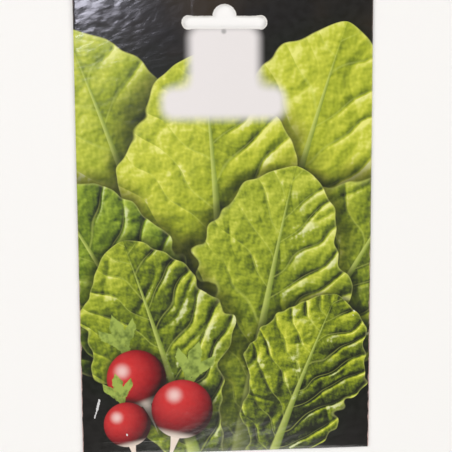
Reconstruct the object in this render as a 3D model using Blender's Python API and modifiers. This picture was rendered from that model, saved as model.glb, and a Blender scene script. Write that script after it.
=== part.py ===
# A paper seed packet that lies on its back with its front up.
# +X is the packet's right, +Y is towards the hang slot, and +Z is out of the front.
# The origin is under the middle of the packet, at the height of its lowest face.
import math
import random

import bmesh
import bpy
from mathutils import Matrix

# Driving dimensions, in metres
WIDTH = 0.116
LENGTH = 0.183
PAPER = 0.00018
LAYER_GAP = 0.00008
PILLOW = 0.0030

SLOT_LENGTH = 0.032
SLOT_WIDTH = 0.0047
SLOT_BUMP_RADIUS = 0.0045
SLOT_TO_TOP = 0.012
SLOT_ARC_STEPS = 10
CUTTER_HALF_DEPTH = 0.004

LAP_CENTRE_X = -0.0150
LAP_WIDTH = 0.010
BOTTOM_FLAP = 0.012
TOP_FLAP = 0.024
FLAP_TAPER = 0.0025

# The pillow is fullest above PILLOW_PEAK_Y and has died away before the top flap's edge
PILLOW_PEAK_Y = -0.040
PILLOW_END_Y = 0.064

# Cells of the sheet between its folds
FRONT_COLUMNS = 18
FRONT_ROWS = 26
FOLD_STEPS = 4
BACK_COLUMNS = 2
FLAP_ROWS = 1

# The heap of seeds: a low oval core that seeds stand out of
SEED_LENGTH = 0.0038
SEED_WIDTH = 0.0012
SEED_THICKNESS = 0.0008
SEED_COUNT = 210
HEAP_CENTRE = (0.0, -0.030)
HEAP_HALF = (0.040, 0.045)
HEAP_CLEARANCE = 0.0003
CORE_SHARE = 0.72  # of the room's height
CORE_CELLS = (28, 8)  # round it, and from pole to pole
SEEDS_REACH = 0.96  # of the way to the core's rim
SEED_JITTER = 0.15  # radians
RANDOM_SEED = 7

# Worked out from the values above
PITCH = PAPER + LAYER_GAP
FLAP_Z = PAPER / 2
RIGHT_BACK_Z = FLAP_Z + PITCH
LEFT_BACK_Z = RIGHT_BACK_Z + PITCH
FRONT_Z = LEFT_BACK_Z + PITCH
SLOT_Y = LENGTH / 2 - SLOT_TO_TOP
POUCH_FLOOR_Z = LEFT_BACK_Z + PAPER / 2


def clearScene():
    for obj in list(bpy.data.objects):
        bpy.data.objects.remove(obj, do_unlink=True)


def newCollection(name):
    collection = bpy.data.collections.new(name)
    bpy.context.scene.collection.children.link(collection)
    return collection


def newMaterial(name, colour, roughness):
    material = bpy.data.materials.new(name)
    material.use_nodes = True
    shader = material.node_tree.nodes["Principled BSDF"]
    shader.inputs["Base Color"].default_value = (*colour, 1.0)
    shader.inputs["Roughness"].default_value = roughness
    shader.inputs["Metallic"].default_value = 0.0
    material.diffuse_color = (*colour, 1.0)
    return material


def newObject(name, bm, collection):
    mesh = bpy.data.meshes.new(name)
    bm.to_mesh(mesh)
    bm.free()
    obj = bpy.data.objects.new(name, mesh)
    collection.objects.link(obj)
    return obj


def clamp01(value):
    return min(1.0, max(0.0, value))


def pillowHeight(x, y):
    """How far the seeds push the front panel out at this place."""
    across = clamp01(1 - (x / (WIDTH / 2 - PITCH)) ** 2)
    bottom = -LENGTH / 2 + PITCH
    rise = 1 - (1 - clamp01((y - bottom) / (PILLOW_PEAK_Y - bottom))) ** 2
    fade = clamp01((PILLOW_END_Y - y) / (PILLOW_END_Y - PILLOW_PEAK_Y))
    return PILLOW * across * rise * fade * fade * (3 - 2 * fade)


def spread(start, end, steps):
    return [start + (end - start) * i / steps for i in range(steps + 1)]


def foldArc(edge, side, backZ):
    """A half turn from the front's height down to backZ, as (place, height) pairs.

    edge is the outermost face of the fold, and side is which way the fold points.
    """
    radius = (FRONT_Z - backZ) / 2
    centre = edge - side * (radius + PAPER / 2)
    turns = [math.pi * i / FOLD_STEPS for i in range(FOLD_STEPS + 1)]
    return [(centre + side * radius * math.sin(a), backZ + radius * (1 + math.cos(a))) for a in turns]


def sheetStations(halfSize, lowEnd, highEnd, lowZ, highZ, cells, lowCells, highCells):
    """Places and heights along one direction of the sheet, from free edge to free edge.

    Returns them with the first and last index of the front panel's own stations.
    """
    lowFold = foldArc(-halfSize, -1, lowZ)
    highFold = foldArc(halfSize, 1, highZ)
    lowPanel = [(place, lowZ) for place in spread(lowEnd, lowFold[-1][0], lowCells)]
    highPanel = [(place, highZ) for place in spread(highFold[-1][0], highEnd, highCells)]
    front = [(place, FRONT_Z) for place in spread(lowFold[0][0], highFold[0][0], cells)]
    stations = lowPanel + lowFold[-2:0:-1] + front + highFold[1:-1] + highPanel
    first = len(lowPanel) + FOLD_STEPS - 1
    return stations, first, first + cells


def slotOutline():
    """The euro slot seen from the front: a round-ended slot with a half-round bump on its upper edge."""
    half = SLOT_WIDTH / 2
    straight = SLOT_LENGTH / 2 - half
    turns = spread(0.0, math.pi, SLOT_ARC_STEPS)
    points = []
    for turn in turns:
        angle = turn + math.pi / 2
        points.append((-straight + half * math.cos(angle), half * math.sin(angle)))
    for turn in turns:
        angle = turn - math.pi / 2
        points.append((straight + half * math.cos(angle), half * math.sin(angle)))
    for angle in turns:
        points.append((SLOT_BUMP_RADIUS * math.cos(angle), half + SLOT_BUMP_RADIUS * math.sin(angle)))
    return points


def buildSlotCutter(collection):
    curve = bpy.data.curves.new("slot_outline", "CURVE")
    curve.dimensions = "2D"
    curve.fill_mode = "BOTH"
    curve.extrude = CUTTER_HALF_DEPTH
    outline = slotOutline()
    spline = curve.splines.new("POLY")
    spline.points.add(len(outline) - 1)
    for point, (x, y) in zip(spline.points, outline):
        point.co = (x, y, 0.0, 1.0)
    spline.use_cyclic_u = True
    guide = bpy.data.objects.new("slot_outline", curve)
    guide.location = (0.0, SLOT_Y, FRONT_Z / 2)
    collection.objects.link(guide)

    bpy.context.view_layer.update()
    graph = bpy.context.evaluated_depsgraph_get()
    mesh = bpy.data.meshes.new_from_object(guide.evaluated_get(graph))
    cutter = bpy.data.objects.new("slot_cutter", mesh)
    cutter.matrix_world = guide.matrix_world
    collection.objects.link(cutter)
    bpy.data.objects.remove(guide, do_unlink=True)

    bm = bmesh.new()
    bm.from_mesh(mesh)
    bmesh.ops.remove_doubles(bm, verts=bm.verts, dist=1e-6)
    bmesh.ops.recalc_face_normals(bm, faces=bm.faces)
    bm.to_mesh(mesh)
    bm.free()
    cutter.hide_render = True
    cutter.display_type = "WIRE"
    return cutter


def buildEnvelope(collection, cutter):
    """One sheet, folded round both sides and at both ends, lapped on the back and punched."""
    lapLeft = LAP_CENTRE_X - LAP_WIDTH / 2
    lapRight = LAP_CENTRE_X + LAP_WIDTH / 2
    columns, firstColumn, lastColumn = sheetStations(
        WIDTH / 2, lapRight, lapLeft, LEFT_BACK_Z, RIGHT_BACK_Z,
        FRONT_COLUMNS, BACK_COLUMNS, BACK_COLUMNS)
    rows, firstRow, lastRow = sheetStations(
        LENGTH / 2, -LENGTH / 2 + BOTTOM_FLAP, LENGTH / 2 - TOP_FLAP, FLAP_Z, FLAP_Z,
        FRONT_ROWS, FLAP_ROWS, FLAP_ROWS)

    bm = bmesh.new()
    bmesh.ops.create_grid(bm, x_segments=len(columns) - 1, y_segments=len(rows) - 1, size=0.5)
    corners = []
    for vert in bm.verts:
        i = round((vert.co.x + 0.5) * (len(columns) - 1))
        j = round((vert.co.y + 0.5) * (len(rows) - 1))
        inWing = i < firstColumn or i > lastColumn
        inFlap = j < firstRow or j > lastRow
        x, z = columns[i]
        y, flapZ = rows[j]
        if inFlap:
            z = flapZ
        if j in (0, len(rows) - 1):
            x *= 1 - FLAP_TAPER / (WIDTH / 2)
        if not inWing and not inFlap:
            z = FRONT_Z + pillowHeight(x, y)
        if inWing and inFlap:
            corners.append(vert)
        vert.co = (x, y, z)
    bmesh.ops.delete(bm, geom=corners, context="VERTS")

    envelope = newObject("paper_envelope", bm, collection)
    thicken = envelope.modifiers.new("paper", "SOLIDIFY")
    thicken.thickness = PAPER
    thicken.offset = 0.0
    punch = envelope.modifiers.new("hang slot", "BOOLEAN")
    punch.operation = "DIFFERENCE"
    punch.solver = "EXACT"
    punch.object = cutter
    envelope.data.materials.append(newMaterial("printed_paper", (0.30, 0.42, 0.08), 0.28))
    return envelope


def heapRoom(x, y):
    """The lowest and highest place that the heap may reach between the pouch's two walls."""
    low = POUCH_FLOOR_Z + HEAP_CLEARANCE
    high = FRONT_Z - PAPER / 2 + pillowHeight(x, y) - HEAP_CLEARANCE
    return low, high


def buildHeapCore(collection):
    """A low oval pad whose upper side follows the front panel."""
    bm = bmesh.new()
    bmesh.ops.create_uvsphere(bm, u_segments=CORE_CELLS[0], v_segments=CORE_CELLS[1], radius=1.0)
    for vert in bm.verts:
        x = HEAP_CENTRE[0] + HEAP_HALF[0] * vert.co.x
        y = HEAP_CENTRE[1] + HEAP_HALF[1] * vert.co.y
        low, high = heapRoom(x, y)
        halfHeight = (high - low) * CORE_SHARE / 2
        z = low + halfHeight * (1 + vert.co.z)
        vert.co = (x, y, z)
    return newObject("seeds", bm, collection)


def coreTop(x, y):
    """The height of the core's upper side at a place inside its outline."""
    across = (x - HEAP_CENTRE[0]) / HEAP_HALF[0]
    along = (y - HEAP_CENTRE[1]) / HEAP_HALF[1]
    low, high = heapRoom(x, y)
    halfHeight = (high - low) * CORE_SHARE / 2
    return low + halfHeight * (1 + math.sqrt(1 - across * across - along * along))


def buildLooseSeeds(collection):
    """Pointed flat seeds, spaced evenly over the core by the golden angle and sunk half way into it."""
    draw = random.Random(RANDOM_SEED)
    golden = math.pi * (3 - math.sqrt(5))
    seeds = []
    for i in range(SEED_COUNT):
        reach = SEEDS_REACH * math.sqrt((i + 0.5) / SEED_COUNT)
        angle = i * golden + draw.uniform(-SEED_JITTER, SEED_JITTER)
        x = HEAP_CENTRE[0] + HEAP_HALF[0] * reach * math.cos(angle)
        y = HEAP_CENTRE[1] + HEAP_HALF[1] * reach * math.sin(angle)
        low, high = heapRoom(x, y)
        top = min(coreTop(x, y), high - SEED_THICKNESS / 2)
        z = max(top, low + SEED_THICKNESS / 2)
        bm = bmesh.new()
        bmesh.ops.create_uvsphere(bm, u_segments=4, v_segments=2, radius=0.5)
        turn = Matrix.Rotation(draw.uniform(0, math.tau), 4, "Z")
        size = Matrix.Diagonal((SEED_LENGTH, SEED_WIDTH, SEED_THICKNESS, 1.0))
        bmesh.ops.transform(bm, matrix=Matrix.Translation((x, y, z)) @ turn @ size, verts=bm.verts)
        seeds.append(newObject(f"loose_seed_{i:03d}", bm, collection))
    return seeds


def buildSeeds(collection):
    heap = buildHeapCore(collection)
    loose = newCollection("loose seeds")
    buildLooseSeeds(loose)
    union = heap.modifiers.new("heap", "BOOLEAN")
    union.operation = "UNION"
    union.operand_type = "COLLECTION"
    union.collection = loose
    union.solver = "EXACT"
    bpy.context.view_layer.update()
    graph = bpy.context.evaluated_depsgraph_get()
    fused = bpy.data.meshes.new_from_object(heap.evaluated_get(graph))
    heap.modifiers.remove(union)
    heap.data = fused
    for seed in list(loose.objects):
        bpy.data.objects.remove(seed, do_unlink=True)
    bpy.data.collections.remove(loose)
    heap.data.materials.append(newMaterial("seeds", (0.62, 0.55, 0.42), 0.75))
    return heap


clearScene()
packet = newCollection("seed packet")
cutters = newCollection("cutters")
buildEnvelope(packet, buildSlotCutter(cutters))
buildSeeds(packet)
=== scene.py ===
import math
import random

import bmesh
import bpy
from mathutils import Matrix, Vector
from mathutils import noise as lumps


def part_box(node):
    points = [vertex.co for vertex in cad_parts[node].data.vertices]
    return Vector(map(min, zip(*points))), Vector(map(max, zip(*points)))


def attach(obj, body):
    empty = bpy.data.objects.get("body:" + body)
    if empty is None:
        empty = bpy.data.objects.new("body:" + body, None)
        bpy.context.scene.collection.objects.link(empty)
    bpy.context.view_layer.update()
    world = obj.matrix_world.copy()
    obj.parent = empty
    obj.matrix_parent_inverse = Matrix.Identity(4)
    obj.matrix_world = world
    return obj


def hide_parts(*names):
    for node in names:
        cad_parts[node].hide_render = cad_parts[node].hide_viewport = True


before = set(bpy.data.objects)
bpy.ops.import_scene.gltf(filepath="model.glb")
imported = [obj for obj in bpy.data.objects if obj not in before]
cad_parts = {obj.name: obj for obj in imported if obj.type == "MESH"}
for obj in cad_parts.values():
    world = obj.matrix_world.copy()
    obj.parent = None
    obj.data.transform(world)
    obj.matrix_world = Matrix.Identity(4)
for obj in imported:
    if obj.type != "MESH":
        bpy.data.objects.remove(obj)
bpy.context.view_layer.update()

_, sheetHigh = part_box("paper_envelope")
heapLow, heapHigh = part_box("seeds")
print("Frame loaded")


def smooth(edge0, edge1, value):
    t = min(1.0, max(0.0, (value - edge0) / (edge1 - edge0)))
    return t * t * (3 - 2 * t)


def newPiece(name, bm, materials):
    mesh = bpy.data.meshes.new(name)
    bm.to_mesh(mesh)
    bm.free()
    obj = bpy.data.objects.new(name, mesh)
    bpy.context.scene.collection.objects.link(obj)
    for material in materials:
        mesh.materials.append(material)
    return obj


# Shader nodes are added and joined through this small helper
class Wires:
    def __init__(self, tree):
        self.tree = tree

    def put(self, socket, value):
        if isinstance(value, bpy.types.NodeSocket):
            self.tree.links.new(value, socket)
        elif value is not None:
            socket.default_value = value

    def add(self, kind, **settings):
        node = self.tree.nodes.new(kind)
        for key, value in settings.items():
            setattr(node, key, value)
        return node

    # Math and Map Range nodes never clamp here: Cycles builds each clamp as a late extra node, and a
    # large material then holds so many values at once that it renders black.
    def math(self, operation, a, b=None, c=None):
        node = self.add("ShaderNodeMath", operation=operation)
        for socket, value in zip(node.inputs, (a, b, c)):
            self.put(socket, value)
        return node.outputs[0]

    def plus(self, a, b):
        return self.math("ADD", a, b)

    def minus(self, a, b):
        return self.math("SUBTRACT", a, b)

    def times(self, a, b):
        return self.math("MULTIPLY", a, b)

    def size(self, a):
        return self.math("ABSOLUTE", a)

    def least(self, a, b):
        return self.math("MINIMUM", a, b)

    def most(self, a, b):
        return self.math("MAXIMUM", a, b)

    def power(self, a, b):
        return self.math("POWER", a, b)

    def rest(self, a):
        return self.most(self.minus(1.0, a), 0.0)

    def step(self, value, low, high, toLow=0.0, toHigh=1.0):
        node = self.add("ShaderNodeMapRange", interpolation_type="SMOOTHSTEP", clamp=False)
        for key, item in (("Value", value), ("From Min", low), ("From Max", high),
                          ("To Min", toLow), ("To Max", toHigh)):
            self.put(node.inputs[key], item)
        return node.outputs["Result"]

    def noise(self, place, scale, detail=0.0, rough=0.5):
        node = self.add("ShaderNodeTexNoise", noise_dimensions="2D")
        self.put(node.inputs["Vector"], place)
        self.put(node.inputs["Scale"], scale)
        self.put(node.inputs["Detail"], detail)
        self.put(node.inputs["Roughness"], rough)
        return node.outputs["Fac"]

    def mapping(self, place, location=(0, 0, 0), turn=(0, 0, 0), scale=(1, 1, 1)):
        node = self.add("ShaderNodeMapping", vector_type="TEXTURE")
        for key, item in (("Vector", place), ("Location", location), ("Rotation", turn),
                          ("Scale", scale)):
            self.put(node.inputs[key], item)
        return node.outputs["Vector"]

    def vector(self, operation, a, b=None):
        node = self.add("ShaderNodeVectorMath", operation=operation)
        self.put(node.inputs[0], a)
        self.put(node.inputs[1], b)
        return node.outputs["Value" if operation in ("LENGTH", "DOT_PRODUCT") else "Vector"]

    def split(self, place):
        node = self.add("ShaderNodeSeparateXYZ")
        self.put(node.inputs[0], place)
        return node.outputs["X"], node.outputs["Y"]

    def join(self, x, y, z):
        node = self.add("ShaderNodeCombineXYZ")
        for socket, value in zip(node.inputs, (x, y, z)):
            self.put(socket, value)
        return node.outputs[0]

    def blend(self, share, under, over, kind="MIX"):
        node = self.add("ShaderNodeMix", data_type="RGBA", blend_type=kind)
        self.put(node.inputs["Factor"], share)
        self.put(node.inputs[6], under)  # the two colour sockets, A and B
        self.put(node.inputs[7], over)
        return node.outputs[2]

    def ramp(self, value, stops):
        node = self.add("ShaderNodeValToRGB")
        elements = node.color_ramp.elements
        while len(elements) < len(stops):
            elements.new(0.5)
        for element, (position, colour) in zip(elements, stops):
            element.position = position
            element.color = (*colour, 1.0)
        self.put(node.inputs[0], value)
        return node.outputs["Color"]

    def curve(self, value, points):
        node = self.add("ShaderNodeFloatCurve")
        line = node.mapping.curves[0]
        while len(line.points) < len(points):
            line.points.new(0.5, 0.5)
        for point, (x, y) in zip(line.points, points):
            point.location = (x, y)
        node.mapping.update()
        self.put(node.inputs["Value"], value)
        return node.outputs["Value"]


def newGroup(name, inputs, outputs):
    group = bpy.data.node_groups.new(name, "ShaderNodeTree")
    for key, kind in inputs:
        group.interface.new_socket(name=key, in_out="INPUT", socket_type=kind)
    for key, kind in outputs:
        group.interface.new_socket(name=key, in_out="OUTPUT", socket_type=kind)
    wires = Wires(group)
    return group, wires, wires.add("NodeGroupInput").outputs, wires.add("NodeGroupOutput").inputs


def useGroup(wires, group, **values):
    node = wires.add("ShaderNodeGroup", node_tree=group)
    for key, value in values.items():
        wires.put(node.inputs[key.replace("_", " ")], value)
    return node.outputs


def newMaterial(name):
    material = bpy.data.materials.new(name)
    material.use_nodes = True
    wires = Wires(material.node_tree)
    shader = material.node_tree.nodes["Principled BSDF"]
    return material, wires, shader


# Lengths in the print are in millimetres, measured from the middle of the front panel
leafPrint = {
    "tone": (
        (0.00, (0.010, 0.014, 0.004)),
        (0.20, (0.045, 0.065, 0.011)),
        (0.40, (0.150, 0.205, 0.012)),
        (0.60, (0.335, 0.405, 0.026)),
        (0.80, (0.550, 0.600, 0.065)),
        (1.00, (0.780, 0.800, 0.250)),
    ),
    "rib": (0.56, 0.64, 0.15, 1.0),
    "ribShade": (0.20, 0.28, 0.03, 1.0),
    "vein": (0.60, 0.68, 0.13, 1.0),
    "margin": (0.76, 0.78, 0.26, 1.0),
    "gleam": (0.84, 0.86, 0.60, 1.0),
    "shadow": (0.004, 0.006, 0.002, 1.0),
    "outline": (
        (0.0, 0.0), (0.03, 0.26), (0.20, 0.42), (0.45, 0.74), (0.70, 1.0), (0.88, 0.93), (1.0, 0.62)),
    "wave": (0.60, 0.22),  # slow and quick waves of the leaf's edge
    "veins": 10.0,
    "veinSlope": 1.05,
    "veinWander": 0.07,
    "veinOffset": 0.45,  # the right side's veins lie this far past the left side's
    "lumpHeight": 0.38,
    "foldHeight": 1.7,
    "creaseHeight": 1.5,
    "quiltDepth": 0.30,
    "lightStep": (-0.9, 0.9),
    "reliefTone": 2.2,
    "sideTone": -0.045,
    "tipTone": 0.26,
    "mottleTone": 0.24,
    "edgeTone": 0.10,
    "besideRibTone": 0.07,
    "ribHalf": (0.0025, 0.036),  # at the tip, and what the foot adds
    "shadowReach": 0.095,
    "shadowShare": 0.78,
    "veinShare": 0.30,
    "ribShare": 0.80,
    "gleamShare": 0.55,
    "marginShare": 0.28,
}


# A place across and along a motif that stands at its base, turned and scaled
def turnedPlace(w, x, y, given):
    dx = w.minus(x, given["Base X"])
    dy = w.minus(y, given["Base Y"])
    across = w.plus(w.times(dx, given["Cosine"]), w.times(dy, given["Sine"]))
    along = w.minus(w.times(dy, given["Cosine"]), w.times(dx, given["Sine"]))
    return w.math("DIVIDE", across, given["Scale"]), w.math("DIVIDE", along, given["Scale"])


motifInputs = (
    ("X", "NodeSocketFloat"), ("Y", "NodeSocketFloat"), ("Place", "NodeSocketVector"),
    ("Lit Place", "NodeSocketVector"), ("Under", "NodeSocketColor"), ("Base X", "NodeSocketFloat"),
    ("Base Y", "NodeSocketFloat"), ("Cosine", "NodeSocketFloat"), ("Sine", "NodeSocketFloat"),
    ("Scale", "NodeSocketFloat"), ("Grain Base", "NodeSocketVector"), ("Grain Turn", "NodeSocketVector"),
    ("Grain Scale", "NodeSocketVector"),
)


# How high the blade stands at a place in the leaf's own frame, with its veins
def leafReliefGroup():
    group, w, given, out = newGroup(
        "leaf relief",
        (("X", "NodeSocketFloat"), ("S", "NodeSocketFloat"), ("Grain", "NodeSocketVector"),
         ("Bend", "NodeSocketFloat")),
        (("Height", "NodeSocketFloat"), ("Vein", "NodeSocketFloat"), ("Across", "NodeSocketFloat")),
    )
    s = given["S"]
    across = w.minus(given["X"], w.times(given["Bend"], w.times(s, s)))
    away = w.size(across)
    wander = w.times(w.minus(w.noise(given["Grain"], 9.0), 0.5), leafPrint["veinWander"])
    along = w.plus(w.minus(s, w.times(away, leafPrint["veinSlope"])), wander)
    side = w.times(w.math("GREATER_THAN", across, 0.0), leafPrint["veinOffset"])
    phase = w.math("FRACT", w.plus(w.times(along, leafPrint["veins"]), side))
    vein = w.size(w.minus(w.times(phase, 2.0), 1.0))
    quilt = w.times(w.power(vein, 3.0), w.step(away, 0.0, 0.10))
    lump = w.noise(given["Grain"], 15.0, 3.0, 0.68)
    fold = w.noise(given["Grain"], 3.0)
    crease = w.least(w.size(w.minus(w.noise(given["Grain"], 5.5), 0.5)), 0.10)
    height = w.plus(w.times(lump, leafPrint["lumpHeight"]), w.times(fold, leafPrint["foldHeight"]))
    height = w.plus(height, w.times(crease, leafPrint["creaseHeight"]))
    height = w.minus(height, w.times(quilt, leafPrint["quiltDepth"]))
    w.put(out["Height"], height)
    w.put(out["Vein"], vein)
    w.put(out["Across"], across)
    return group


# One printed leaf laid over what is under it
def leafGroup(relief):
    group, w, given, out = newGroup(
        "printed leaf",
        motifInputs + (("Width", "NodeSocketFloat"), ("Bend", "NodeSocketFloat"),
                       ("Light", "NodeSocketFloat"), ("Tint", "NodeSocketColor")),
        (("Colour", "NodeSocketColor"),),
    )
    grainFrame = (given["Grain Base"], given["Grain Turn"], given["Grain Scale"])
    grain = w.mapping(given["Place"], *grainFrame)
    litGrain = w.mapping(given["Lit Place"], *grainFrame)
    x, s = turnedPlace(w, given["X"], given["Y"], given)
    litX, litS = turnedPlace(w, w.plus(given["X"], leafPrint["lightStep"][0]),
                             w.plus(given["Y"], leafPrint["lightStep"][1]), given)
    first = useGroup(w, relief, X=x, S=s, Grain=grain, Bend=given["Bend"])
    second = useGroup(w, relief, X=litX, S=litS, Grain=litGrain, Bend=given["Bend"])
    across = first["Across"]
    away = w.size(across)

    wave = w.plus(w.times(w.minus(w.noise(grain, 5.0), 0.5), leafPrint["wave"][0]),
                  w.times(w.minus(w.noise(grain, 17.0), 0.5), leafPrint["wave"][1]))
    tip = w.math("SQRT", w.rest(w.power(w.most(s, 0.0), 5.0)))
    reach = w.times(w.times(w.curve(s, leafPrint["outline"]), tip), given["Width"])
    reach = w.times(reach, w.plus(wave, 1.0))
    inside = w.minus(reach, away)
    cover = w.step(inside, 0.0, 0.006)
    shade = w.times(w.step(inside, -leafPrint["shadowReach"], 0.012),
                    w.step(s, 1.06, 0.98, 0.0, leafPrint["shadowShare"]))

    slope = w.times(w.minus(first["Height"], second["Height"]), leafPrint["reliefTone"])
    edgeShare = w.least(w.math("DIVIDE", away, w.most(reach, 0.001)), 1.0)
    tone = w.plus(w.plus(slope, w.times(w.math("SIGN", across), leafPrint["sideTone"])), given["Light"])
    tone = w.plus(tone, w.times(w.least(s, 1.0), leafPrint["tipTone"]))
    mottle = w.minus(w.noise(grain, 42.0, 2.0, 0.6), 0.5)
    tone = w.plus(tone, w.times(mottle, leafPrint["mottleTone"]))
    tone = w.plus(tone, w.times(w.power(edgeShare, 2.0), leafPrint["edgeTone"]))
    tipHalf, footHalf = leafPrint["ribHalf"]
    ribWidth = w.plus(w.times(w.power(w.least(w.rest(s), 1.0), 1.6), footHalf), tipHalf)
    besideRib = w.step(away, w.times(ribWidth, 3.0), ribWidth)
    tone = w.minus(tone, w.times(besideRib, leafPrint["besideRibTone"]))
    blade = w.blend(1.0, w.ramp(tone, leafPrint["tone"]), given["Tint"], "MULTIPLY")

    veinShare = w.step(first["Vein"], w.plus(w.times(edgeShare, 0.06), 0.86), 1.0)
    veinShare = w.times(veinShare, w.step(edgeShare, 0.95, 0.25, 0.04, leafPrint["veinShare"]))
    blade = w.blend(veinShare, blade, leafPrint["vein"])
    ribLight = w.step(across, ribWidth, w.times(ribWidth, -0.9))
    rib = w.blend(ribLight, leafPrint["ribShade"], leafPrint["rib"])
    ribShare = w.times(w.step(away, ribWidth, w.times(ribWidth, 0.6)), w.step(s, 1.0, 0.80))
    blade = w.blend(w.times(ribShare, leafPrint["ribShare"]), blade, rib)
    gleam = w.times(w.step(slope, 0.12, 0.32),
                    w.step(w.noise(grain, 11.0, 1.0), 0.50, 0.74, 0.0, leafPrint["gleamShare"]))
    blade = w.blend(gleam, blade, leafPrint["gleam"])
    rim = w.times(w.step(inside, 0.016, 0.0), leafPrint["marginShare"])
    blade = w.blend(rim, blade, leafPrint["margin"])

    under = w.blend(shade, given["Under"], leafPrint["shadow"])
    w.put(out["Colour"], w.blend(cover, under, blade))
    return group


# Sizes of a radish are shares of its radius
radishPrint = {
    "skin": (
        (0.05, (0.030, 0.002, 0.003)),
        (0.45, (0.270, 0.006, 0.010)),
        (0.80, (0.600, 0.030, 0.030)),
        (1.00, (0.780, 0.120, 0.090)),
    ),
    "root": (0.82, 0.70, 0.60, 1.0),
    "stem": (0.34, 0.44, 0.08, 1.0),
    "stemFoot": (0.09, 0.14, 0.02, 1.0),
    "gleam": (0.92, 0.72, 0.68, 1.0),
    "gleamMiddle": (-0.36, 0.40, 0.0),
    "shadow": (0.004, 0.004, 0.002, 1.0),
    "bodyEnd": 0.80,  # the root and the stalks start this far from the middle
    "tailHalf": 0.20,
    "stalkHalf": 0.09,
    "bladeHalf": 0.15,
    "bladeRagged": 0.16,
    "bladeSpread": 0.50,
}


# One printed radish: its body is the unit disc and its root points down
def radishGroup():
    group, w, given, out = newGroup("printed radish", motifInputs, (("Colour", "NodeSocketColor"),))
    grain = w.mapping(given["Place"], given["Grain Base"], given["Grain Turn"], given["Grain Scale"])
    x, y = turnedPlace(w, given["X"], given["Y"], given)
    away = w.size(x)
    flat = w.join(x, y, 0.0)
    radius = w.vector("LENGTH", flat)
    body = w.step(w.minus(1.0, radius), 0.0, 0.035)
    down = w.minus(w.times(y, -1.0), radishPrint["bodyEnd"])
    tail = w.minus(w.times(w.power(w.rest(w.times(down, 0.62)), 2.0), radishPrint["tailHalf"]), away)
    tail = w.times(w.step(tail, 0.0, 0.03), w.math("GREATER_THAN", down, 0.0))
    up = w.minus(y, radishPrint["bodyEnd"])
    ragged = w.times(w.minus(w.noise(grain, 5.0, 2.0, 0.6), 0.5), radishPrint["bladeRagged"])
    blade = w.plus(w.times(w.step(up, 0.25, 0.85), radishPrint["bladeHalf"]),
                   w.plus(ragged, radishPrint["stalkHalf"]))
    sideReach = w.times(blade, w.step(up, 1.25, 0.80))
    middleReach = w.times(blade, w.step(up, 1.60, 1.05))
    sideLine = w.times(w.power(w.most(up, 0.0), 1.3), radishPrint["bladeSpread"])
    toSide = w.minus(w.size(w.minus(away, sideLine)), sideReach)
    toMiddle = w.minus(away, middleReach)
    stems = w.most(w.step(toSide, 0.0, -0.04), w.step(toMiddle, 0.0, -0.04))
    stems = w.times(stems, w.math("GREATER_THAN", up, 0.0))
    sheen = w.times(w.step(w.noise(grain, 3.0, 2.0, 0.6), 0.10, 0.80), w.step(up, 0.0, 0.7, 0.4, 1.4))
    stalk = w.blend(sheen, radishPrint["stemFoot"], radishPrint["stem"])

    bulge = w.math("SQRT", w.rest(w.times(radius, radius)))
    lit = w.plus(w.plus(w.times(x, -0.30), w.times(y, 0.34)), w.times(bulge, 0.72))
    blush = w.times(w.minus(w.noise(grain, 7.0, 2.0), 0.5), 0.10)
    skin = w.ramp(w.plus(lit, blush), radishPrint["skin"])
    gleam = w.vector("LENGTH", w.vector("SUBTRACT", flat, radishPrint["gleamMiddle"]))
    skin = w.blend(w.times(w.step(gleam, 0.36, 0.02), 0.75), skin, radishPrint["gleam"])
    skin = w.blend(w.times(w.step(y, -0.70, -0.96), 0.85), skin, radishPrint["root"])

    shade = w.times(w.step(w.minus(1.0, radius), -0.30, 0.05), 0.80)
    under = w.blend(shade, given["Under"], radishPrint["shadow"])
    under = w.blend(stems, under, stalk)
    under = w.blend(tail, under, radishPrint["root"])
    w.put(out["Colour"], w.blend(body, under, skin))
    return group


printLayout = {
    "ground": (0.006, 0.005, 0.004, 1.0),
    "warmGround": (0.026, 0.016, 0.006, 1.0),
    # base x and y, turn in degrees, length, half width and bend as shares of it, light, tint
    "leaves": (
        (8, -78, -40, 98, 0.27, 0.08, 0.10, "deep"),
        (-10, -76, 42, 104, 0.27, -0.08, 0.06, "deep"),
        (2, -82, -13, 168, 0.205, 0.05, 0.50, "golden"),
        (-6, -84, 16, 170, 0.205, -0.05, 0.42, "fresh"),
        (0, -80, 1, 148, 0.25, -0.04, 0.44, "golden"),
        (9, -92, -27, 132, 0.24, 0.06, 0.20, "fresh"),
        (-8, -94, 25, 130, 0.24, -0.07, 0.20, "deep"),
        (4, -100, -8, 126, 0.25, 0.05, 0.30, "fresh"),
        (-8, -112, 14, 112, 0.26, -0.05, 0.20, "fresh"),
        (12, -114, -17, 92, 0.28, 0.06, 0.15, "golden"),
    ),
    "tints": {
        "fresh": (1.0, 1.0, 1.0, 1.0),
        "golden": (1.04, 1.02, 0.80, 1.0),
        "deep": (0.84, 0.96, 1.15, 1.0),
    },
    # middle x and y, turn in degrees, radius
    "radishes": (
        (-36, -60, 20, 12.0),
        (-18, -73, -14, 12.5),
        (-40, -79, 12, 9.5),
    ),
}


# Lays one motif over the picture so far; number moves its grain to a stretch of its own
def placeMotif(w, group, page, under, number, baseX, baseY, turn, scale, **more):
    angle = math.radians(turn)
    return useGroup(
        w, group, X=page["x"], Y=page["y"], Place=page["place"], Lit_Place=page["litPlace"], Under=under,
        Base_X=baseX, Base_Y=baseY, Cosine=math.cos(angle), Sine=math.sin(angle), Scale=scale,
        Grain_Base=(baseX + 370.0 * number, baseY - 510.0 * number, 0.0), Grain_Turn=(0.0, 0.0, angle),
        Grain_Scale=(scale, scale, scale), **more)["Colour"]


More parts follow.
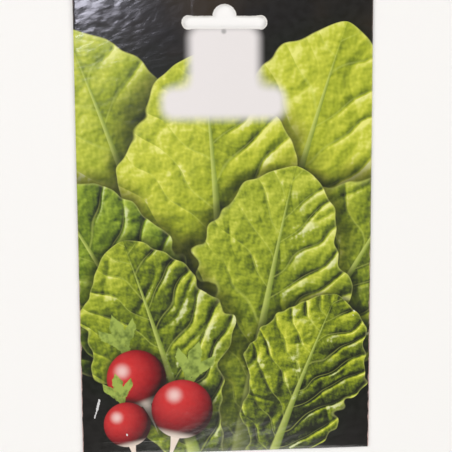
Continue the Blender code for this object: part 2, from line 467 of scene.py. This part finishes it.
# A fan of salad leaves and a few radishes on a dark ground
def frontPicture(w, page):
    toCorner = w.plus(w.times(page["x"], 0.6), page["y"])
    clouds = w.step(w.noise(page["place"], 0.03, 2.0), 0.3, 0.7)
    warmth = w.times(w.step(toCorner, 10.0, 95.0), clouds)
    colour = w.blend(warmth, printLayout["ground"], printLayout["warmGround"])
    leaf = leafGroup(leafReliefGroup())
    number = 1
    for baseX, baseY, turn, length, width, bend, light, tint in printLayout["leaves"]:
        colour = placeMotif(w, leaf, page, colour, number, baseX, baseY, turn, length,
                            Width=width, Bend=bend, Light=light, Tint=printLayout["tints"][tint])
        number += 1
    radish = radishGroup()
    for middleX, middleY, turn, radius in printLayout["radishes"]:
        colour = placeMotif(w, radish, page, colour, number, middleX, middleY, turn, radius)
        number += 1
    return colour


labelPatch = {
    "middle": (-0.2, 63.5),
    "half": (13.6, 14.6),
    "bandMiddle": (-0.6, 48.6),
    "bandHalf": (24.0, 6.2),
    "corner": 5.0,
    "fillet": 9.0,
    "soft": 2.8,
    "colour": (0.82, 0.785, 0.78, 1.0),
}


# How far a place lies outside a box with rounded corners
def roundedBox(w, x, y, middle, half, corner):
    dx = w.minus(w.size(w.minus(x, middle[0])), half[0] - corner)
    dy = w.minus(w.size(w.minus(y, middle[1])), half[1] - corner)
    outside = w.join(w.most(dx, 0.0), w.most(dy, 0.0), 0.0)
    return w.minus(w.vector("LENGTH", outside), corner)


# A bare white patch with soft edges, close under the slot
def blankLabel(w, page, colour):
    x, y = page["x"], page["y"]
    upper = roundedBox(w, x, y, labelPatch["middle"], labelPatch["half"], labelPatch["corner"])
    band = roundedBox(w, x, y, labelPatch["bandMiddle"], labelPatch["bandHalf"], labelPatch["corner"])
    reach = w.math("SMOOTH_MIN", upper, band, labelPatch["fillet"])
    share = w.step(reach, labelPatch["soft"], -labelPatch["soft"])
    return w.blend(share, colour, labelPatch["colour"])


paperFinish = {
    "core": (0.78, 0.76, 0.71, 1.0),
    "inside": (0.80, 0.79, 0.75, 1.0),
    "specular": 0.25,
    "coat": 0.7,
    "coatRoughness": 0.14,
    "roughness": (0.28, 0.42),
}
# The slot on the flat sheet in millimetres, as slotShape gives it in metres
slotPrint = {"y": 79.5, "reach": 13.65, "half": 2.35, "bump": 4.5}


# Wear on the flat sheet, in millimetres
wearMarks = {
    # scuffs: x and y of both ends, half width
    "pale": (
        (-50.9, -68.7, -51.8, -72.4, 0.42),
        (-51.8, -72.4, -52.9, -76.0, 0.22),
        (-40.2, -83.2, -40.1, -83.4, 0.30),
        (51.4, -34.6, 51.5, -34.7, 0.28),
        (51.0, -36.3, 51.1, -36.4, 0.20),
    ),
    "paleColour": (0.76, 0.75, 0.75, 1.0),
    "smudge": (-0.3, 76.1),
    "smudgeColour": (0.32, 0.31, 0.31, 1.0),
    "foldColour": (0.60, 0.42, 0.38, 1.0),
    "foldFrom": 58.05,
    "foldRagged": 1.1,
    "foldUntil": 58.8,
    "foldShares": (0.15, 0.85),  # near the top and near the bottom
    "rimColour": (0.80, 0.78, 0.74, 1.0),
    "rimWidths": (0.16, 0.70),  # along the slot's sides and round its ends
    "rimRagged": 0.30,
}


# The place on the flat sheet in millimetres, as values and as vectors. It is joined and split
# again so that all of it reaches the motifs at once, and they are compiled one after another.
def pageOf(w):
    u, v = w.split(w.add("ShaderNodeUVMap", uv_map="blank").outputs["UV"])
    x = w.times(u, 1000.0)
    y = w.times(v, 1000.0)
    place = w.join(x, y, 0.0)
    litX = w.plus(x, leafPrint["lightStep"][0])
    litY = w.plus(y, leafPrint["lightStep"][1])
    pageX, pageY = w.split(place)
    return {"x": pageX, "y": pageY, "place": place, "litPlace": w.join(litX, litY, 0.0)}


# White paper shows round the slot, more at its ends than along its sides
def slotRim(w, page, colour):
    x, y = page["x"], w.minus(page["y"], slotPrint["y"])
    middle = w.most(w.least(x, slotPrint["reach"]), -slotPrint["reach"])
    toSlot = w.minus(w.vector("LENGTH", w.join(w.minus(x, middle), y, 0.0)), slotPrint["half"])
    toBump = w.vector("LENGTH", w.join(x, w.minus(y, slotPrint["half"]), 0.0))
    away = w.least(toSlot, w.minus(toBump, slotPrint["bump"]))
    ragged = w.minus(w.noise(page["place"], 1.3, 1.0), 0.5)
    width = w.plus(w.step(w.size(x), 11.5, 15.8, *wearMarks["rimWidths"]),
                   w.times(ragged, wearMarks["rimRagged"]))
    share = w.step(away, width, w.times(width, 0.6))
    return w.blend(share, colour, wearMarks["rimColour"])


# Folds worn to pink and bare paper, a few scuffs and a smudge
def wornPrint(w, page, colour):
    place = page["place"]
    edge = w.size(page["x"])
    streak = w.noise(w.mapping(place, scale=(1.2, 5.0, 1.0)), 1.0, 2.0)
    start = w.plus(wearMarks["foldFrom"], w.times(streak, -wearMarks["foldRagged"]))
    end = wearMarks["foldUntil"]
    share = w.times(w.step(edge, start, w.plus(start, 0.35)), w.step(edge, end + 0.4, end - 0.4))
    share = w.times(share, w.step(page["y"], 30.0, -60.0, *wearMarks["foldShares"]))
    colour = w.blend(share, colour, wearMarks["foldColour"])
    nearest = 9.0  # further than any scuff reaches
    for x0, y0, x1, y1, half in wearMarks["pale"]:
        dx, dy = x1 - x0, y1 - y0
        square = dx * dx + dy * dy
        fromStart = w.vector("SUBTRACT", place, (x0, y0, 0.0))
        ahead = w.vector("DOT_PRODUCT", fromStart, (dx / square, dy / square, 0.0))
        ahead = w.most(w.least(ahead, 1.0), 0.0)
        onLine = w.join(w.times(ahead, dx), w.times(ahead, dy), 0.0)
        away = w.minus(w.vector("LENGTH", w.vector("SUBTRACT", fromStart, onLine)), half)
        nearest = w.least(away, nearest)
    rough = w.times(w.minus(w.noise(place, 1.5, 1.0), 0.5), 0.5)
    scuffs = w.times(w.step(w.plus(nearest, rough), 0.15, -0.15), 0.9)
    colour = w.blend(scuffs, colour, wearMarks["paleColour"])
    smudge = w.vector("LENGTH", w.vector("SUBTRACT", place, (*wearMarks["smudge"], 0.0)))
    return w.blend(w.times(w.step(smudge, 1.5, 0.3), 0.8), colour, wearMarks["smudgeColour"])


# A guess at the hidden side: cream paper with a thin frame and a row of twelve bare boxes
backPrint = {
    "ground": (0.72, 0.68, 0.55, 1.0),
    "line": (0.10, 0.20, 0.05, 1.0),
    "frameMiddle": (0.0, -2.0),
    "frameHalf": (51.0, 62.0),
    "frameCorner": 3.0,
    "frameLine": (0.34, 0.22),  # half of the line's width, with and without its soft edge
    "boxes": 12,
    "boxPitch": 7.4,
    "boxMiddle": -46.0,
    "boxHalf": 4.0,
    "boxLine": (0.24, 0.14),
    "from": (60.5, 92.0),  # on the flat sheet, the back's panels lie beyond this x and within this y
}


def backPanel(w):
    place = w.mapping(w.add("ShaderNodeTexCoord").outputs["Object"], scale=(0.001, 0.001, 0.001))
    x, y = w.split(place)
    toFrame = w.size(roundedBox(w, x, y, backPrint["frameMiddle"], backPrint["frameHalf"],
                                backPrint["frameCorner"]))
    ink = w.step(toFrame, *backPrint["frameLine"])
    half = backPrint["boxes"] * backPrint["boxPitch"] / 2
    inRow = w.step(w.size(x), half + 0.15, half + 0.05)
    shift = 0.5 * (backPrint["boxes"] % 2)
    phase = w.math("FRACT", w.plus(w.math("DIVIDE", x, backPrint["boxPitch"]), shift))
    toPost = w.times(w.minus(0.5, w.size(w.minus(phase, 0.5))), backPrint["boxPitch"])
    up = w.size(w.minus(y, backPrint["boxMiddle"]))
    posts = w.times(w.step(toPost, *backPrint["boxLine"]),
                    w.step(up, backPrint["boxHalf"] + 0.1, backPrint["boxHalf"]))
    rails = w.step(w.size(w.minus(up, backPrint["boxHalf"])), *backPrint["boxLine"])
    ink = w.most(ink, w.times(w.most(posts, rails), inRow))
    return w.blend(ink, backPrint["ground"], backPrint["line"])


# Heights, places and sizes in the gloss are in millimetres, turns in degrees
glossRelief = {
    "streaks": 0.020,
    "streakTurn": 17,
    "streakSize": (3.0, 1.3, 1.0),
    "cockle": 0.05,
    "cockleScale": 0.09,
    "dents": 0.085,
    "dentTurn": 20,
    "dentSize": (7.0, 4.0, 1.0),
    "lap": 0.030,
    "lapEdge": (-13.2, -11.8),
    "crease": 0.02,
    "creaseMiddle": (-37.5, -86.0),
    "creaseHalf": (13.5, 11.0),
}


# Fine streaks, a slow cockle, the edge of the lap behind and a crease over the bottom flap
def glossBump(w, page):
    relief = glossRelief
    place = page["place"]
    streakTurn = (0, 0, math.radians(relief["streakTurn"]))
    streaks = w.noise(w.mapping(place, turn=streakTurn, scale=relief["streakSize"]), 1.0, 2.0, 0.5)
    cockle = w.noise(place, relief["cockleScale"], 1.0)
    dentTurn = (0, 0, math.radians(relief["dentTurn"]))
    dents = w.noise(w.mapping(place, turn=dentTurn, scale=relief["dentSize"]), 1.0, 1.0)
    height = w.plus(w.times(streaks, relief["streaks"]), w.times(cockle, relief["cockle"]))
    height = w.plus(height, w.times(dents, relief["dents"]))
    lap = w.step(page["x"], *relief["lapEdge"])
    creaseX, creaseY = relief["creaseMiddle"]
    crease = w.times(w.step(w.size(w.minus(page["y"], creaseY)), 0.5, 0.0),
                     w.step(w.size(w.minus(page["x"], creaseX)), *relief["creaseHalf"]))
    height = w.plus(height, w.plus(w.times(lap, relief["lap"]), w.times(crease, relief["crease"])))
    bump = w.add("ShaderNodeBump")
    bump.inputs["Strength"].default_value = 1.0
    bump.inputs["Distance"].default_value = 0.001
    w.put(bump.inputs["Height"], height)
    return bump.outputs["Normal"]


def printedPaper():
    material, w, shader = newMaterial("printed coated paper")
    page = pageOf(w)
    colour = blankLabel(w, page, frontPicture(w, page))
    colour = wornPrint(w, page, slotRim(w, page, colour))
    beyondX, withinY = backPrint["from"]
    behind = w.times(w.step(w.size(page["x"]), beyondX - 0.1, beyondX + 0.1),
                     w.step(w.size(page["y"]), withinY + 0.1, withinY - 0.1))
    w.put(shader.inputs["Base Color"], w.blend(behind, colour, backPanel(w)))
    handled = w.noise(page["place"], 0.35, 1.0)
    w.put(shader.inputs["Roughness"], w.step(handled, 0.2, 0.8, *paperFinish["roughness"]))
    shader.inputs["Specular IOR Level"].default_value = paperFinish["specular"]
    shader.inputs["Coat Weight"].default_value = paperFinish["coat"]
    shader.inputs["Coat Roughness"].default_value = paperFinish["coatRoughness"]
    normal = glossBump(w, page)
    w.put(shader.inputs["Normal"], normal)
    w.put(shader.inputs["Coat Normal"], normal)
    return material


def barePaper():
    material, w, shader = newMaterial("bare paper")
    place = w.add("ShaderNodeTexCoord").outputs["Object"]
    fibre = w.noise(w.mapping(place, scale=(0.0006, 0.0002, 0.0004)), 1.0, 3.0, 0.6)
    w.put(shader.inputs["Base Color"], w.blend(fibre, paperFinish["core"], paperFinish["inside"]))
    shader.inputs["Roughness"].default_value = 0.85
    return material


# The envelope is one sheet. These sizes are in metres.
envelopeShape = {
    "paper": 0.00015,
    "airBetween": 0.00011,
    "clear": 0.00001,  # the flaps stand this high over the ground
    "pillow": 0.00285,
    "fullestY": -0.040,
    "pillowEndY": 0.064,
    "dent": 0.00012,
    "dentSpan": 0.017,
    "dentFrom": 0.0008,
    "lap": (-0.0200, -0.0100),
    "bottomFlap": 0.012,
    "topFlap": 0.024,
    "taper": 0.0025,
    "columns": 110,
    "rows": 170,
    "foldSteps": 8,
    "backColumns": 8,
    "flapRows": 4,
    "sharpAngle": 40,
}
slotShape = {
    "length": 0.032,
    "width": 0.0047,
    "bump": 0.0045,
    "fromTop": 0.012,
    "cutterDepth": 0.01,
    "endSteps": 16,
    "bumpSteps": 64,
}
halfWidth = sheetHigh.x
halfLength = sheetHigh.y
slotY = halfLength - slotShape["fromTop"]
pitch = envelopeShape["paper"] + envelopeShape["airBetween"]
flapZ = envelopeShape["paper"] / 2 + envelopeShape["clear"]
frontZ = flapZ + 3 * pitch


# The front swells over the seeds, highest at fullestY, with gentle dents
def pillowHeight(x, y):
    shape = envelopeShape
    across = max(0.0, 1 - (x / (halfWidth - pitch)) ** 2)
    bottom = -halfLength + pitch
    rise = 1 - (1 - min(1.0, max(0.0, (y - bottom) / (shape["fullestY"] - bottom)))) ** 2
    fade = 1 - smooth(shape["fullestY"], shape["pillowEndY"], y)
    height = shape["pillow"] * across * rise * fade
    dent = lumps.noise(Vector((x, y, 0.0)) / shape["dentSpan"]) * shape["dent"]
    return height + dent * min(1.0, height / shape["dentFrom"])


def spread(start, end, steps):
    return [start + (end - start) * i / steps for i in range(steps + 1)]


# Half a turn of paper from the front down to the layer at backZ
def foldArc(edge, side, backZ):
    steps = envelopeShape["foldSteps"]
    radius = (frontZ - backZ) / 2
    centre = edge - side * (radius + envelopeShape["paper"] / 2)
    turns = [math.pi * i / steps for i in range(steps + 1)]
    return [(centre + side * radius * math.sin(a), backZ + radius * (1 + math.cos(a))) for a in turns]


# Place, height and unfolded place of each grid line, and the first and last line of the front
def stationsOf(half, lowEnd, highEnd, lowZ, highZ, cells, edgeCells):
    lowFold = foldArc(-half, -1, lowZ)
    highFold = foldArc(half, 1, highZ)
    lowPanel = [(place, lowZ) for place in spread(lowEnd, lowFold[-1][0], edgeCells)]
    highPanel = [(place, highZ) for place in spread(highFold[-1][0], highEnd, edgeCells)]
    front = [(place, frontZ) for place in spread(lowFold[0][0], highFold[0][0], cells)]
    lines = lowPanel + lowFold[-2:0:-1] + front + highFold[1:-1] + highPanel
    first = len(lowPanel) + envelopeShape["foldSteps"] - 1
    flat = [0.0] * len(lines)
    for i in range(1, len(lines)):
        flat[i] = flat[i - 1] + math.dist(lines[i - 1], lines[i])
    middle = (flat[first] + flat[first + cells]) / 2
    return [(place, z, u - middle) for (place, z), u in zip(lines, flat)], first, first + cells


# A round-ended box for the slot and a drum for its bump
def slotCutters():
    shape = slotShape
    bm = bmesh.new()
    bmesh.ops.create_cube(bm, size=1.0)
    bmesh.ops.scale(bm, vec=(shape["length"], shape["width"], shape["cutterDepth"]), verts=bm.verts)
    upright = [e for e in bm.edges if abs(e.verts[0].co.z - e.verts[1].co.z) > shape["cutterDepth"] / 2]
    bmesh.ops.bevel(bm, geom=upright, offset=shape["width"] * 0.4999, offset_type="OFFSET",
                    segments=shape["endSteps"], profile=0.5, affect="EDGES", material=-1)
    bmesh.ops.translate(bm, vec=(0, slotY, 0), verts=bm.verts)
    box = newPiece("slot cutter", bm, [])
    bm = bmesh.new()
    bmesh.ops.create_cone(bm, cap_ends=True, segments=shape["bumpSteps"], radius1=shape["bump"],
                          radius2=shape["bump"], depth=shape["cutterDepth"])
    bmesh.ops.translate(bm, vec=(0, slotY + shape["width"] / 2, 0), verts=bm.verts)
    drum = newPiece("bump cutter", bm, [])
    return box, drum


# The flat sheet is a grid whose outer lines are carried round the folds, then gets its thickness
def buildEnvelope(printed, bare):
    shape = envelopeShape
    columns, firstColumn, lastColumn = stationsOf(
        halfWidth, shape["lap"][1], shape["lap"][0], flapZ + 2 * pitch, flapZ + pitch,
        shape["columns"], shape["backColumns"])
    rows, firstRow, lastRow = stationsOf(
        halfLength, -halfLength + shape["bottomFlap"], halfLength - shape["topFlap"], flapZ, flapZ,
        shape["rows"], shape["flapRows"])

    bm = bmesh.new()
    bmesh.ops.create_grid(bm, x_segments=len(columns) - 1, y_segments=len(rows) - 1, size=0.5)
    uvLayer = bm.loops.layers.uv.new("blank")
    corners = []
    flat = {}
    for vert in bm.verts:
        i = round((vert.co.x + 0.5) * (len(columns) - 1))
        j = round((vert.co.y + 0.5) * (len(rows) - 1))
        inWing = i < firstColumn or i > lastColumn
        inFlap = j < firstRow or j > lastRow
        x, z, u = columns[i]
        y, endZ, v = rows[j]
        flat[vert] = (u, v)
        if inFlap:
            z = endZ
            if j in (0, len(rows) - 1):
                x *= 1 - shape["taper"] / halfWidth
        elif not inWing:
            z = frontZ + pillowHeight(x, y)
        if inWing and inFlap:
            corners.append(vert)
        vert.co = (x, y, z)
    for face in bm.faces:
        for loop in face.loops:
            loop[uvLayer].uv = flat[loop.vert]
    bmesh.ops.delete(bm, geom=corners, context="VERTS")

    raw = newPiece("raw envelope", bm, [printed, bare])
    thicken = raw.modifiers.new("paper", "SOLIDIFY")
    thicken.thickness = shape["paper"]
    thicken.offset = 0.0
    thicken.material_offset = 1
    thicken.material_offset_rim = 1
    cutters = slotCutters()
    for cutter in cutters:
        cutter.data.materials.append(bare)
        punch = raw.modifiers.new("punch", "BOOLEAN")
        punch.operation = "DIFFERENCE"
        punch.solver = "EXACT"
        punch.material_mode = "TRANSFER"
        punch.object = cutter
    bpy.context.view_layer.update()
    graph = bpy.context.evaluated_depsgraph_get()
    mesh = bpy.data.meshes.new_from_object(raw.evaluated_get(graph))
    envelope = bpy.data.objects.new("envelope", mesh)
    bpy.context.scene.collection.objects.link(envelope)
    for helper in (raw, *cutters):
        bpy.data.objects.remove(helper, do_unlink=True)
    mesh.shade_smooth()
    mesh.set_sharp_from_angle(angle=math.radians(shape["sharpAngle"]))
    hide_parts("paper_envelope")
    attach(envelope, "root")


buildEnvelope(printedPaper(), barePaper())
print("Envelope folded and punched")


# The seeds lie in an oval heap inside the pillow, and only an opened packet shows them. Sizes are
# in metres, the tilt in degrees and the roll in radians.
heapShape = {
    "seeds": 1500,
    "half": (0.0019, 0.00058, 0.00042),
    "around": 6,
    "along": 5,
    "taper": 0.35,
    "tilt": 5.0,
    "roll": 0.5,
    "smallest": 0.85,
    "margin": 0.0001,
    "seed": 7,
    "tone": ((0.3, (0.16, 0.11, 0.06)), (0.7, (0.52, 0.44, 0.31))),
    "toneSpan": 0.0017,
    "roughness": 0.7,
}


def seedHusk():
    material, w, shader = newMaterial("seed husk")
    place = w.add("ShaderNodeTexCoord").outputs["Object"]
    tone = w.noise(w.mapping(place, scale=[heapShape["toneSpan"]] * 3), 1.0, 2.0)
    w.put(shader.inputs["Base Color"], w.ramp(tone, heapShape["tone"]))
    shader.inputs["Roughness"].default_value = heapShape["roughness"]
    return material


# One husk, lying along x and narrower at one end
def huskMesh():
    shape = heapShape
    bm = bmesh.new()
    bmesh.ops.create_uvsphere(bm, u_segments=shape["around"], v_segments=shape["along"], radius=1.0,
                              matrix=Matrix.Rotation(math.pi / 2, 4, "Y"))
    for vert in bm.verts:
        narrow = 1 - shape["taper"] * max(0.0, vert.co.x)
        vert.co = [vert.co[i] * shape["half"][i] * (1.0 if i == 0 else narrow) for i in range(3)]
    mesh = bpy.data.meshes.new("husk")
    bm.to_mesh(mesh)
    bm.free()
    mesh.shade_smooth()
    return mesh


def buildHeap(husk):
    shape = heapShape
    draw = random.Random(shape["seed"])
    middle = (heapLow + heapHigh) / 2
    reachX = (heapHigh.x - heapLow.x) / 2 - shape["half"][0]
    reachY = (heapHigh.y - heapLow.y) / 2 - shape["half"][0]
    floorZ = max(heapLow.z, flapZ + 2 * pitch + envelopeShape["paper"] / 2) + shape["margin"]
    rise = shape["half"][2] + shape["half"][0] * math.sin(math.radians(shape["tilt"]))
    bm = bmesh.new()
    single = huskMesh()
    for _ in range(shape["seeds"]):
        angle = draw.uniform(0, 2 * math.pi)
        out = math.sqrt(draw.random())
        x = middle.x + reachX * out * math.cos(angle)
        y = middle.y + reachY * out * math.sin(angle)
        roofZ = frontZ + pillowHeight(x, y) - envelopeShape["paper"] / 2 - shape["margin"]
        roofZ = min(roofZ, heapHigh.z)
        if roofZ - floorZ < 2 * rise:
            continue
        place = Matrix.Translation((x, y, draw.uniform(floorZ + rise, roofZ - rise)))
        place @= Matrix.Rotation(draw.uniform(0, 2 * math.pi), 4, "Z")
        place @= Matrix.Rotation(math.radians(draw.uniform(-shape["tilt"], shape["tilt"])), 4, "Y")
        place @= Matrix.Rotation(draw.uniform(-shape["roll"], shape["roll"]), 4, "X")
        place @= Matrix.Scale(draw.uniform(shape["smallest"], 1.0), 4)
        seed = single.copy()
        seed.transform(place)
        bm.from_mesh(seed)
        bpy.data.meshes.remove(seed)
    bpy.data.meshes.remove(single)
    heap = newPiece("seed_heap", bm, [husk])
    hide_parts("seeds")
    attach(heap, "root")


buildHeap(seedHusk())
print("Seeds poured")


studio = {
    "floorHalf": 1.2,
    "floorColour": (0.92, 0.915, 0.90, 1.0),
    "floorRoughness": 0.7,
    "skyColour": (1.0, 0.985, 0.96, 1.0),
    "skyStrength": 0.20,
    # name, place, target, size, power, colour
    "lights": (
        ("window light", (-0.106, 0.166, 0.75), (-0.02, 0.02, 0), (0.08, 0.06), 0.60, (0.86, 0.85, 1.0)),
        ("left soft box", (-1.0, 0.5, 0.9), (0, 0, 0), (0.9, 0.9), 10.5, (1.0, 0.98, 0.95)),
        ("right soft box", (1.0, 0.3, 0.9), (0, 0, 0), (0.9, 0.9), 8.5, (1.0, 0.98, 0.95)),
        ("near soft box", (0.0, -1.1, 0.9), (0, 0, 0), (0.9, 0.9), 7.5, (1.0, 0.98, 0.95)),
    ),
    "cameraPlace": (-0.0340, 0.0564, 0.4305),
    "cameraTurn": (-7.371, -4.575, -0.327),
    "lens": 87.8,
}


def buildFloor():
    material, _, shader = newMaterial("studio floor")
    shader.inputs["Base Color"].default_value = studio["floorColour"]
    shader.inputs["Roughness"].default_value = studio["floorRoughness"]
    bm = bmesh.new()
    bmesh.ops.create_grid(bm, x_segments=1, y_segments=1, size=studio["floorHalf"])
    floor = newPiece("studio_floor", bm, [material])


def areaLight(name, place, target, size, power, colour):
    light = bpy.data.lights.new(name, "AREA")
    light.shape = "RECTANGLE"
    light.size, light.size_y = size
    light.energy = power
    light.color = colour
    lamp = bpy.data.objects.new(name, light)
    lamp.location = place
    lamp.rotation_euler = (Vector(target) - Vector(place)).to_track_quat("-Z", "Y").to_euler()
    bpy.context.scene.collection.objects.link(lamp)


def buildStudio():
    buildFloor()
    world = bpy.data.worlds.new("studio air")
    world.use_nodes = True
    sky = world.node_tree.nodes["Background"]
    sky.inputs["Color"].default_value = studio["skyColour"]
    sky.inputs["Strength"].default_value = studio["skyStrength"]
    bpy.context.scene.world = world
    for light in studio["lights"]:
        areaLight(*light)

    lens = bpy.data.cameras.new("camera")
    lens.lens = studio["lens"]
    lens.sensor_width = 36
    lens.clip_start = 0.01
    camera = bpy.data.objects.new("camera", lens)
    camera.location = studio["cameraPlace"]
    camera.rotation_euler = [math.radians(a) for a in studio["cameraTurn"]]
    bpy.context.scene.collection.objects.link(camera)
    bpy.context.scene.camera = camera
    bpy.context.scene.view_settings.view_transform = "Standard"


buildStudio()
print("Studio set")
